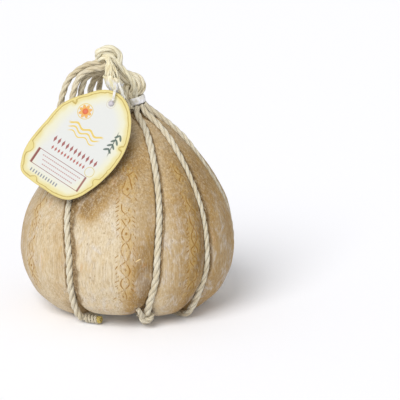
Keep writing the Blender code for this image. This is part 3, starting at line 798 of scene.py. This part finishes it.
over_rows = [row_from(knot_middle, step, 2.8 * MM) for step in OVER_KNOT]
front_parts = [lay_rope(front_rows, lay=36 * MM), lay_rope(over_rows, lay=40 * MM)]
mesh_piece("front_strands", joined(front_parts), lit_pale_fibre, "rope")


# ---- The knot ----
# The ropes are wound about four times round themselves into a ball and pulled tight. The turns are
# arches about the place in front, low down, where the tail comes out.

UP = Vector((0, 0, 1))
KNOT_ROPE = 3.1 * MM
knot_pole = Vector((0.12, -0.78, -0.6)).normalized()
knot_side = knot_pole.cross(UP).normalized()
knot_top = knot_pole.cross(knot_side)


def wound(reach, turns, start, first=16, last=164):
    """A rope wound about the pole on an egg of this reach, from near the pole to the far side;
    start, first and last are in degrees, round the pole and away from it."""
    rows = []
    for share in np.linspace(0, 1, round(turns * 28) + 1):
        polar = math.radians(first + (last - first) * share)
        angle = math.radians(start) + turns * math.tau * share
        way = way_round(polar, knot_pole, way_round(angle, knot_side, knot_top))
        loose = 1 + 0.05 * noise.noise(way * 1.7)
        spot = knot_middle + Vector([part * size * loose for part, size in zip(way, reach)])
        rows.append((*spot, KNOT_ROPE))
    return rows


knot_reach = (knot_high - knot_low) / 2 - Vector((KNOT_ROPE, KNOT_ROPE, KNOT_ROPE))
knot_parts = [
    lay_rope(wound(knot_reach, 4.3, 40), lay=42 * MM, sides_a_strand=10),
    lay_rope(wound(knot_reach * 0.5, 2.3, 200, first=30, last=150), lay=42 * MM),
]
mesh_piece("wound_knot", joined(knot_parts), lit_pale_fibre, "rope", "top_knot")


# ---- The hanging loops ----
# Spare rope hangs from the knot on the left in two loops and a short end, to hang the cheese by.
# The tops of the loops lie close against each other.

# Each loop's way from its start to its end, then where it starts and ends from the knot's middle.
LOOPS = {
    "loop_outer": ((0, 0, -1), (-2, -4.5, -4.5), (-0.5, -9, -7.5)),
    "loop_inner": ((-1, 0, -1), (-1.5, 2, -8), (-0.5, -4, -9)),
    "loop_back": ((-1, 0, -1), (-1, 7, -7), None),
}
LOOP_LIFT = 1.7 * MM
loop_fibre = fibre_material("loop rope", (225, 216, 191), (210, 197, 165), (154, 135, 98), groove_dust_and_shade=0.5)
for node, (toward, start, end) in LOOPS.items():
    loop_line = spaced(centre_line(node, toward), 2 * MM)
    far_half = loop_line[len(loop_line) // 2:]
    far_half[:, 2] += LOOP_LIFT * np.clip((far_half[:, 2] - 214 * MM) / (12 * MM), 0, 1)
    rows = [row_from(knot_middle, start, loop_line[0, 3]), *loop_line[1:]]
    if end:
        rows.append(row_from(knot_middle, end, loop_line[-1, 3]))
    mesh_piece(f"{node}_rope", lay_rope(rows, turn=0.8), loop_fibre, "rope", node)


# ---- The frayed tail ----
# The end of the rope comes out of the knot in front and hangs untwisted, a loose swollen bundle of
# pale yarns.

TAIL_INNER_YARNS = 7
TAIL_OUTER_YARNS = 12
tail_fibre = fibre_material(
    "tail yarn", (244, 240, 216), (240, 231, 196), (186, 164, 112), yarns=7, stray=0.4
)
tail_line = centre_line("tail", (0, 0, -1))
out_of_knot = [row_from(knot_middle, (0, -3, 1.5), 2.2 * MM), row_from(knot_middle, (1, -12, -1.5), 2.9 * MM)]
tail_path = spaced(np.vstack([out_of_knot, tail_line]), 1.2 * MM)
below_top = tail_line[0, 2] + 2 * MM - tail_path[:, 2]
tail_swell = np.sin(math.pi * np.clip(below_top / (36 * MM), 0, 1))
tail_path[:, 0] -= 3.0 * MM * tail_swell
tail_path[:, 3] += 2.0 * MM * tail_swell


def lay_yarn(rows, lay, turn, step):
    """A yarn of two plies."""
    return lay_rope(rows, strands=2, lay=lay, turn=turn, sides_a_strand=6, step=step)


tail_parts = []
for k in range(TAIL_INNER_YARNS + TAIL_OUTER_YARNS):
    inner = k < TAIL_INNER_YARNS
    turn = k / TAIL_INNER_YARNS if inner else (k - TAIL_INNER_YARNS) / TAIL_OUTER_YARNS
    rows = []
    for share, (x, y, z, radius) in zip(np.linspace(0, 1, len(tail_path[::2])), tail_path[::2]):
        reach = max(radius - 1.5 * MM, 0.4 * MM) * (0.45 if inner else 0.98)
        push = noise.noise_vector(Vector((3.7 * k, share * 2.6, 9.0))) * (0.5 + 1.3 * share) * MM
        swing = math.tau * turn + 0.9 * share
        x += reach * math.cos(swing) + push.x
        y += reach * math.sin(swing) * 0.8 + push.y
        rows.append((x, y, z + push.z * 0.3, (1.4 if inner else 1.6) * MM * (1 - 0.2 * share)))
    tail_parts.append(lay_yarn(rows, 18 * MM, k, 1.2 * MM))
mesh_piece("tail_yarns", joined(tail_parts), tail_fibre, "rope", "tail")


# ---- The card tag ----
# A card printed as old parchment, with a plain made-up design: a rosette, a sprig, waves, rows of
# lozenges, a ruled panel and a line of dashes. It is egg-shaped, thin and very slightly curled.

TAG_FACE = Vector((-0.226, -0.855, 0.467)).normalized()
TAG_UP = Vector((0.555, 0.281, 0.783)).normalized()
TAG_CURL = 2.2 * MM
TAG_RINGS = [1, 0.99, 0.975, 0.96, 0.945, 0.93, 0.91, 0.88, 0.84, 0.78, 0.7, 0.6, 0.5, 0.4, 0.3, 0.2, 0.1]
button_low, button_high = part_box("tag_button")
tag_place = Matrix((TAG_UP.cross(TAG_FACE).normalized(), TAG_UP, TAG_FACE)).transposed().to_4x4()
tag_place.translation = (button_low + button_high) / 2


def on_tag(node):
    """The points of a CAD node as they lie on the card: across it, up it and out of its face."""
    to_tag = tag_place.inverted()
    return [to_tag @ vert.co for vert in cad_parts[node].data.vertices]


tag_points = on_tag("tag")
tag_depth = sum(point.z for point in tag_points) / len(tag_points)
half_thick = (max(point.z for point in tag_points) - min(point.z for point in tag_points)) / 2
edge = {(round(p.x, 6), round(p.y, 6)) for p in tag_points if p.z > tag_depth and p.xy.length > 4 * MM}
tag_middle = Vector((sum(x for x, _ in edge) / len(edge), sum(y for _, y in edge) / len(edge)))
edge = sorted(edge, key=lambda spot: math.atan2(spot[1] - tag_middle.y, spot[0] - tag_middle.x))
outline = spaced([(*spot, 0) for spot in edge + edge[:1]], 1.6 * MM)[:-1, :2]
nearest_edge = kdtree.KDTree(len(outline))
for i, spot in enumerate(outline):
    nearest_edge.insert((*spot, 0), i)
nearest_edge.balance()
skin = []
print_places = []
from_edge = []
faces = []
for side in (1, -1):
    faces += tube_faces(len(TAG_RINGS), len(outline), len(skin), turned=side < 0, close_first=False)
    for share in TAG_RINGS:
        for corner in outline:
            x, y = tag_middle + (Vector(corner) - tag_middle) * share
            curl = TAG_CURL * ((x / (40 * MM)) ** 2 - 0.35) * min(1, (y / (60 * MM)) ** 2)
            skin.append(tag_place @ Vector((x, y, tag_depth + curl + side * half_thick)))
            print_places.append((x, y, side))
            from_edge.append(nearest_edge.find((x, y, 0))[2] if share < 1 else 0)
half = len(skin) // 2
for j in range(len(outline)):
    k = (j + 1) % len(outline)
    faces.append((half + j, half + k, k, j))
tag_mesh = new_mesh(skin, faces, sharp_degrees=40)
set_attribute(tag_mesh, "print_place", "FLOAT_VECTOR", print_places)
set_attribute(tag_mesh, "from_edge", "FLOAT", from_edge)

# A printed shape on a flat place: a box, an ellipse or a lozenge, filled or in outline, one or a
# row of them, straight or on a wave.
BOX = 0
ELLIPSE = 1
LOZENGE = 2
SOFT_EDGE = 0.12 * MM
WAVE_RATE = 440  # radians of the wave to the metre
inputs = {"Place": "Vector", "Middle": "Vector", "Half Size": "Vector", "Turn": "Float", "Kind": "Float"}
inputs.update({"Line": "Float", "Spacing": "Float", "More": "Float", "Wave": "Float"})
printed_shape, given = new_group("printed shape", inputs, {"Mask": "Float"})
ends = {0: given["Place"], 1: given["Middle"]}
offset = field_of(printed_shape, "ShaderNodeVectorMath", ends, operation="SUBTRACT")
turned = {"Vector": offset, "Angle": given["Turn"]}
x, y, _ = apart(field_of(printed_shape, "ShaderNodeVectorRotate", turned, rotation_type="Z_AXIS"))
half_wide, half_tall, _ = apart(given["Half Size"])
number = maths("MAXIMUM", maths("ROUND", x / given["Spacing"]), given["More"] * -1)
number = maths("MINIMUM", number, given["More"])
wide = abs(x - number * given["Spacing"]) / half_wide
tall = abs(y - maths("SINE", x * WAVE_RATE) * given["Wave"]) / half_tall
is_ellipse = maths("COMPARE", given["Kind"], ELLIPSE, 0.1)
is_lozenge = maths("COMPARE", given["Kind"], LOZENGE, 0.1)
reached = maths("MAXIMUM", wide, tall) * (1 - is_ellipse - is_lozenge)
reached = maths("SQRT", wide * wide + tall * tall) * is_ellipse + reached
reached = (wide + tall) * is_lozenge + reached
inward = (1 - reached) * maths("MINIMUM", half_wide, half_tall)
is_line = maths("GREATER_THAN", given["Line"], 0.0)
filled = span(inward, -SOFT_EDGE, SOFT_EDGE)
drawn_line = span(given["Line"] - abs(inward), -SOFT_EDGE, SOFT_EDGE)
add_node(printed_shape, "NodeGroupOutput", {"Mask": filled * (1 - is_line) + drawn_line * is_line})

card, tree, shader = new_material("printed card", roughness=0.55, ior=1.45)
on_card = read(tree, "print_place", "Vector")


def shape_mask(x, y, half_wide, half_tall, kind=ELLIPSE, turn=0, line=0, spacing=1000, more=0, wave=0):
    """Where a shape is printed, its sizes in millimetres from the eyelet; more is how many stand in
    a row to each side of the middle one."""
    values = {
        "Place": on_card, "Middle": (x * MM, y * MM, 0), "Half Size": (half_wide * MM, half_tall * MM, 1),
        "Turn": -math.radians(turn), "Kind": kind, "Line": line * MM / 2, "Spacing": spacing * MM,
        "More": more, "Wave": wave * MM,
    }
    return use_group(tree, printed_shape, values)["Mask"]


# The parchment: yellow at the edge, white in the middle, with a gold line just inside the edge that
# is broken by small tears.
TEARS = [(-29, -18, 4.6), (-41, -74, 6.5), (31, -31, 4.6), (29, -68, 4.6), (-22, -95, 4.6), (35, -54, 2.0)]
blotch = cloud(on_card, 70, 4, 0.6)
edge_distance = read(tree, "from_edge")
pushed = cloud(on_card, 150, 3) * (2.6 * MM)
for x, y, reach in TEARS:
    ends = {0: on_card, 1: (x * MM, y * MM, 1)}
    near = field_of(tree, "ShaderNodeVectorMath", ends, "Value", operation="DISTANCE")
    tear = maths("SUBTRACT", 1.0, near / (reach * MM), clamp=True)
    pushed = tear * (0.9 * reach * MM) + pushed
from_line = edge_distance - (pushed + 1.3 * MM)
inside = blotch * (-7 * MM) + (from_line + 3.5 * MM)
rim = blotch * (-1.2 * MM) + edge_distance
colour = layered(
    mixed(span(inside, 0.5 * MM, 6 * MM), srgb(243, 229, 160), srgb(246, 243, 214)),
    (span(inside, 4 * MM, 15 * MM), 238, 239, 235),
    (span(from_line, 0.2 * MM, -0.4 * MM), 243, 226, 146),
    (span(rim, 0.6 * MM, 0.0, 0.0, 0.6), 226, 200, 116),
    (span(abs(from_line), 0.75 * MM, 0.1 * MM) * 0.9, 196, 166, 70),
)

# The design, all of it made up, in the order of printing: an ink, its strength, and its shapes as
# shape_mask takes them.
ROSETTE = (-17, -19)
petals = []
for turn in range(0, 360, 45):
    angle = math.radians(turn)
    x = ROSETTE[0] + 4 * math.cos(angle)
    y = ROSETTE[1] + 4 * math.sin(angle)
    petals.append((x, y, 2.7, 1.6, ELLIPSE, turn))
leaves = []
for i in range(4):
    leaves.append((24.6 + 0.8 * i, -38 + 5 * i, 3.0, 1.05, ELLIPSE, -35 - 6 * i))
    leaves.append((21.0 + 0.8 * i, -38 + 5 * i, 3.0, 1.05, ELLIPSE, 215 + 6 * i))
waves = [(-6, -33 - 4.2 * i, 18 - 2 * i, 1.0 - 0.2 * i, BOX, 0, 0, 1000, 0, 1.5) for i in range(3)]
rules = [(-6, -73.6 - 3.9 * i, 0.75, 0.5, BOX, 0, 0, 2.1, 10 - i) for i in range(3)]
DESIGN = [
    ((246, 178, 56), 0.9, petals),
    ((240, 206, 84), 0.9, [(*ROSETTE, 7.4, 7.4, ELLIPSE, 0, 0.7)]),
    ((234, 98, 34), 0.9, [(*ROSETTE, 2.9, 2.9)]),
    ((66, 86, 76), 0.9, [(24, -31, 0.45, 11, BOX, 8)]),
    ((74, 98, 84), 0.9, leaves),
    ((244, 208, 72), 0.9, waves),
    ((160, 50, 42), 0.9, [(-3, -55, 1.35, 3.6, LOZENGE, 0, 0, 4.7, 5)]),
    ((186, 74, 58), 0.9, [(-6, -63, 1.1, 2.3, LOZENGE, 0, 0, 3.6, 5)]),
    ((150, 66, 52), 0.9, [(-7, -77.5, 27, 7.6, BOX, 0, 0.55)]),
    ((140, 58, 46), 0.9, [(-33.4, -77.5, 0.8, 7.6, BOX)]),
    ((190, 112, 98), 0.75, rules),
    ((96, 106, 140), 0.8, [(-15, -90.6, 0.6, 1.6, BOX, 0, 0, 2.9, 5)]),
    ((226, 202, 104), 0.9, [(20, -64, 4.6, 4.6, ELLIPSE, 0, 0.6)]),
    ((196, 158, 82), 0.3, [(0, -0.6, 4.2, 4.2, ELLIPSE, 0, 0.6)]),
]
for ink, strength, shapes in DESIGN:
    colour = layered(colour, *[(shape_mask(*shape) * strength, *ink) for shape in shapes])
in_front = span(apart(on_card)[2], -0.1, 0.1)
colour = mixed(in_front, srgb(240, 236, 222), colour)
PRINT_LIGHTNESS = 0.68  # of the whole card, against the colours named here
dulled = {0: 1.0, 6: colour, 7: (PRINT_LIGHTNESS, PRINT_LIGHTNESS, PRINT_LIGHTNESS, 1)}
colour = field_of(tree, "ShaderNodeMix", dulled, 2, data_type="RGBA", blend_type="MULTIPLY")
finish_with(shader, colour, cloud(on_card, 900, 3, 0.6), 0.05 * MM, 0.5)
mesh_piece("card_tag", tag_mesh, card, "card", "tag")


# ---- The fastening of the tag ----
# Clear plastic film is wrapped round the tail and gathered below; a flat white strip runs from it to
# the lilac button in the eyelet. A few bleached ends of yarn hang beside it.

STRIP_SECTION = [(-1, -0.25), (-0.5, -0.4), (0.5, -0.4), (1, -0.25), (1, 0.25), (-1, 0.25)]
film = plastic_material("wrapping film", (214, 214, 217), (216, 208, 170), (1.6, 1.6, 0.4), clear=0.95)
collar_low, collar_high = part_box("tie_collar")
tail_x, tail_y, tail_z, _ = tail_path[::-1].T
collar_rows = []
for share in np.linspace(0, 1, 16):
    z = collar_high.z - 1.5 * MM - share * (collar_high.z - collar_low.z + 1.5 * MM)
    x = np.interp(z, tail_z, tail_x) - 2.2 * MM * share ** 1.5
    y = np.interp(z, tail_z, tail_y) - 1.5 * MM * share
    collar_rows.append((x, y, z, np.interp(share, [0, 0.35, 0.75, 1], [8.1, 7.4, 5.0, 2.6]) * MM))
collar_mesh = sleeve(collar_rows, thick=0.35 * MM, crease=1.3 * MM, seed=5.0, slant=-4 * MM, lean=1.3)
mesh_piece("tail_film", collar_mesh, film, "band", "tie_collar")

strip_start = (*collar_rows[-3][:3], 1.4 * MM)
strip_path = spaced(np.vstack([strip_start, centre_line("tag_tie", (0, 0, -1))[1:]]), 0.8 * MM)
strip_skin = []
for share, row in zip(np.linspace(0, 1, len(strip_path)), strip_path):
    half_wide = (1.5 - 0.35 * share) * MM
    side = Vector((math.cos(0.5 * share), 0.5 * math.sin(1.5 * share), 0)).normalized()
    for out, deep in STRIP_SECTION:
        strip_skin.append(Vector(row[:3]) + side * (half_wide * out) + Vector((0, deep, 0)) * MM)
strip_faces = tube_faces(len(strip_path), len(STRIP_SECTION), turned=True)
strip_mesh = new_mesh(strip_skin, strip_faces, sharp_degrees=50)
mesh_piece("tag_strip", strip_mesh, strap_plastic, "band", "tag_tie")

bleached = fibre_material(
    "bleached yarn", (250, 250, 246), (244, 242, 232), (212, 206, 190), yarns=5, stray=0.4
)
leg_line = centre_line("tie_leg", (0, 0, -1))
leg_parts = []
for k in range(4):
    rows = []
    for i, step in enumerate(((-3.6, 3.5, 9), (-1.6, 1, 4), (0, 0, 0))):
        drift = noise.noise_vector(Vector((5.1 * k, i * 1.7, 3.0))) * 1.6 * MM
        rows.append(row_from(Vector(leg_line[0, :3]) + drift, step, 1.0 * MM))
    for x, y, z, _ in leg_line[2:]:
        drift = noise.noise_vector(Vector((5.1 * k, z / (5 * MM), 3.0))) * 0.9 * MM
        rows.append((x + drift.x + (k - 1.5) * 0.9 * MM, y + drift.y + 0.5 * MM, z, 0.95 * MM))
    leg_parts.append(lay_yarn(rows, 12 * MM, k, 1 * MM))
mesh_piece("bleached_ends", joined(leg_parts), bleached, "rope", "tie_leg")

# The button is turned from this profile: shares of its radius, with shares of its height in front
# of the card, and then with millimetres behind the card.
BUTTON_SIDES = 40
BUTTON_FRONT = [(0.25, 1.0), (0.55, 0.95), (0.8, 0.75), (0.95, 0.4), (1.0, 0.05), (0.94, -0.1), (0.4, -0.12)]
BUTTON_BACK = [(0.4, 0.0), (0.95, 0.1), (0.9, 0.6)]
button_points = on_tag("tag_button")
button_radius = max(point.xy.length for point in button_points)
face_front = tag_depth + half_thick
button_height = max(point.z for point in button_points) - face_front
face_back = tag_depth - half_thick
profile = [(share, face_front + out * button_height) for share, out in BUTTON_FRONT]
profile += [(share, face_back - out * MM) for share, out in BUTTON_BACK]
button_skin = []
for share, lift in profile:
    for j in range(BUTTON_SIDES):
        spot = way_round(math.tau * j / BUTTON_SIDES, Vector((1, 0, 0)), Vector((0, 1, 0)))
        button_skin.append(tag_place @ (spot * (share * button_radius) + UP * lift))
button_faces = tube_faces(len(profile), BUTTON_SIDES, turned=True)
button_mesh = new_mesh(button_skin, button_faces, sharp_degrees=50)
lilac, tree, shader = new_material("lilac plastic", roughness=0.42, ior=1.46, subsurface_weight=0.15)
shader.inputs["Subsurface Radius"].default_value = (0.8 * MM, 0.7 * MM, 0.9 * MM)
scuffs = cloud(object_place(tree), 900, 4, 0.7)
colour = mixed(span(scuffs, 0.4, 0.65), srgb(170, 164, 170), srgb(192, 187, 192))
finish_with(shader, colour, scuffs, 0.05 * MM, 0.5, span(scuffs, 0.3, 0.7, 0.36, 0.52))
mesh_piece("eyelet_button", button_mesh, lilac, "button", "tag_button")


# ---- The finished rope ends at the foot ----
# On the left a rope end is whipped round with thin cord and cut off square, yellow where it was
# waxed. On the right a rope is hitched round the net and its short end sticks up.

WHIPPING_TURNS = 3.6
WHIPPING_CORD = 1.5 * MM
HITCH_TURNS = 1.75
HITCH_REACH = 5.1 * MM
wrap_line = centre_line("foot_wrap", (1, 0, 0))
wrap_start = Vector(wrap_line[0, :3])
wrap_way = Vector(wrap_line[-1, :3]) - wrap_start
along_wrap = wrap_way.normalized()
wrap_side = along_wrap.cross(UP).normalized()
winding = []
for share in np.linspace(0, 1, 70):
    out = (2.85 + 0.2 * math.sin(9 * share)) * MM
    spot = wrap_start + wrap_way * (1.08 * share - 0.04)
    spot += way_round(WHIPPING_TURNS * math.tau * share, UP, wrap_side) * out
    winding.append((*spot, WHIPPING_CORD))
core = [(*(wrap_start + along_wrap * (reach * MM)), 2.4 * MM) for reach in (-7, -2, 4, 9, 12)]
wrap_parts = [lay_rope(winding, lay=9 * MM, step=1 * MM), lay_rope(core)]
mesh_piece("whipped_end", joined(wrap_parts), net_fibre, "rope", "foot_wrap")

# The cut yarns stand one in the middle, six round it and twelve round those.
yellow_fibre = fibre_material(
    "waxed yarn", (236, 220, 130), (214, 190, 92), (144, 112, 46), yarns=5, stray=0.2
)
cut_line = centre_line("foot_cut_end", (1, 0, 0))
cut_parts = []
for k in range(19):
    ring = 0 if k == 0 else 1 if k < 7 else 2
    aside = way_round(math.tau * k / (6 if ring == 1 else 12), UP, wrap_side) * (ring * 1.35 * MM)
    longer = (0.7 * noise.noise(Vector((3.3 * k, 0, 1))) - 0.35 * ring) * MM
    start = Vector(cut_line[0, :3]) - along_wrap * (1.5 * MM) + aside * 0.9
    end = Vector(cut_line[-1, :3]) + aside * 1.05 + along_wrap * longer
    rows = [(*start.lerp(end, share), 0.86 * MM) for share in (0, 0.5, 1)]
    cut_parts.append(lay_yarn(rows, 8 * MM, k, 0.8 * MM))
mesh_piece("cut_yarns", joined(cut_parts), yellow_fibre, "cut_rope", "foot_cut_end")

# The hitch winds about the way in which its solid is thinnest.
hitch_points = np.array([vert.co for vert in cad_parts["foot_hitch"].data.vertices])
hitch_middle = Vector((hitch_points.max(0) + hitch_points.min(0)) / 2)
hitch_axes = np.linalg.svd(hitch_points - hitch_points.mean(0), full_matrices=False)[2]
hitch_axis = Vector(hitch_axes[2] * np.sign(hitch_axes[2, 2]))
hitch_right = TO_FRONT.cross(hitch_axis).normalized()
hitch_back = hitch_right.cross(hitch_axis)
hitch_rows = []
for share in np.linspace(0, 1, 60):
    angle = math.radians(150) + HITCH_TURNS * math.tau * share
    out = HITCH_REACH * (1 + 0.05 * math.sin(5 * angle))
    spot = hitch_middle + hitch_axis * ((2.6 - 4.6 * share) * MM)
    hitch_rows.append((*(spot + way_round(angle, hitch_right, hitch_back) * out), 2.1 * MM))
hitch_end = hitch_rows[-1][:3]
hitch_rows += [row_from(hitch_end, step, 2.0 * MM) for step in ((-3.4, 1.0, -0.6), (-7, 0.6, -0.4))]
mesh_piece("foot_hitch_rope", lay_rope(hitch_rows, lay=18 * MM), net_fibre, "rope", "foot_hitch")

stub_rows = [row_from(hitch_middle, (-2.5, -4, 1), 2.3 * MM), *centre_line("foot_stub", (0, 0, 1))]
mesh_piece("foot_stub_rope", lay_rope(stub_rows, lay=16 * MM), net_fibre, "rope", "foot_stub")


# ---- The stage ----
# A white floor, one broad soft light from the upper left in front, and the camera. The backdrop is
# seen whiter than the light that it gives.

WHITE = (1, 1, 1, 1)
floor_corners = [(-8, -8, 0), (8, -8, 0), (8, 12, 0), (-8, 12, 0)]
floor_mesh = bpy.data.meshes.new("floor")
floor_mesh.from_pydata(floor_corners, [], [(0, 1, 2, 3)])
floor = put_in_scene("floor", floor_mesh)
paper, tree, shader = new_material("white paper", roughness=0.9, emission_strength=0.06)
shader.inputs["Base Color"].default_value = (0.91, 0.91, 0.94, 1)
shader.inputs["Emission Color"].default_value = WHITE
floor_mesh.materials.append(paper)

world = bpy.data.worlds.new("studio")
bpy.context.scene.world = world
world.use_nodes = True
tree = world.node_tree
sky = tree.nodes["Background"]
sky.inputs["Color"].default_value = WHITE
sky.inputs["Strength"].default_value = 0.5
backdrop = add_node(tree, "ShaderNodeBackground", {"Color": WHITE, "Strength": 1.0})
seen = add_node(tree, "ShaderNodeLightPath").outputs["Is Camera Ray"]
both = add_node(tree, "ShaderNodeMixShader", {0: seen, 1: sky.outputs[0], 2: backdrop.outputs[0]})
tree.links.new(both.outputs[0], tree.nodes["World Output"].inputs["Surface"])

window = bpy.data.lights.new("window", "SUN")
window.energy = 2.5
window.angle = math.radians(38)
window_place = put_in_scene("window", window)
window_place.rotation_euler = Vector((-0.34, -0.66, 0.68)).to_track_quat("Z", "Y").to_euler()

camera = bpy.data.cameras.new("camera")
camera.lens = 150.3
camera.sensor_width = 36
viewpoint = put_in_scene("camera", camera)
viewpoint.location = (0.069, -1.5455, 0.5159)
viewpoint.rotation_euler = (math.radians(75), 0, 0)
bpy.context.scene.camera = viewpoint
bpy.context.scene.view_settings.view_transform = "Standard"
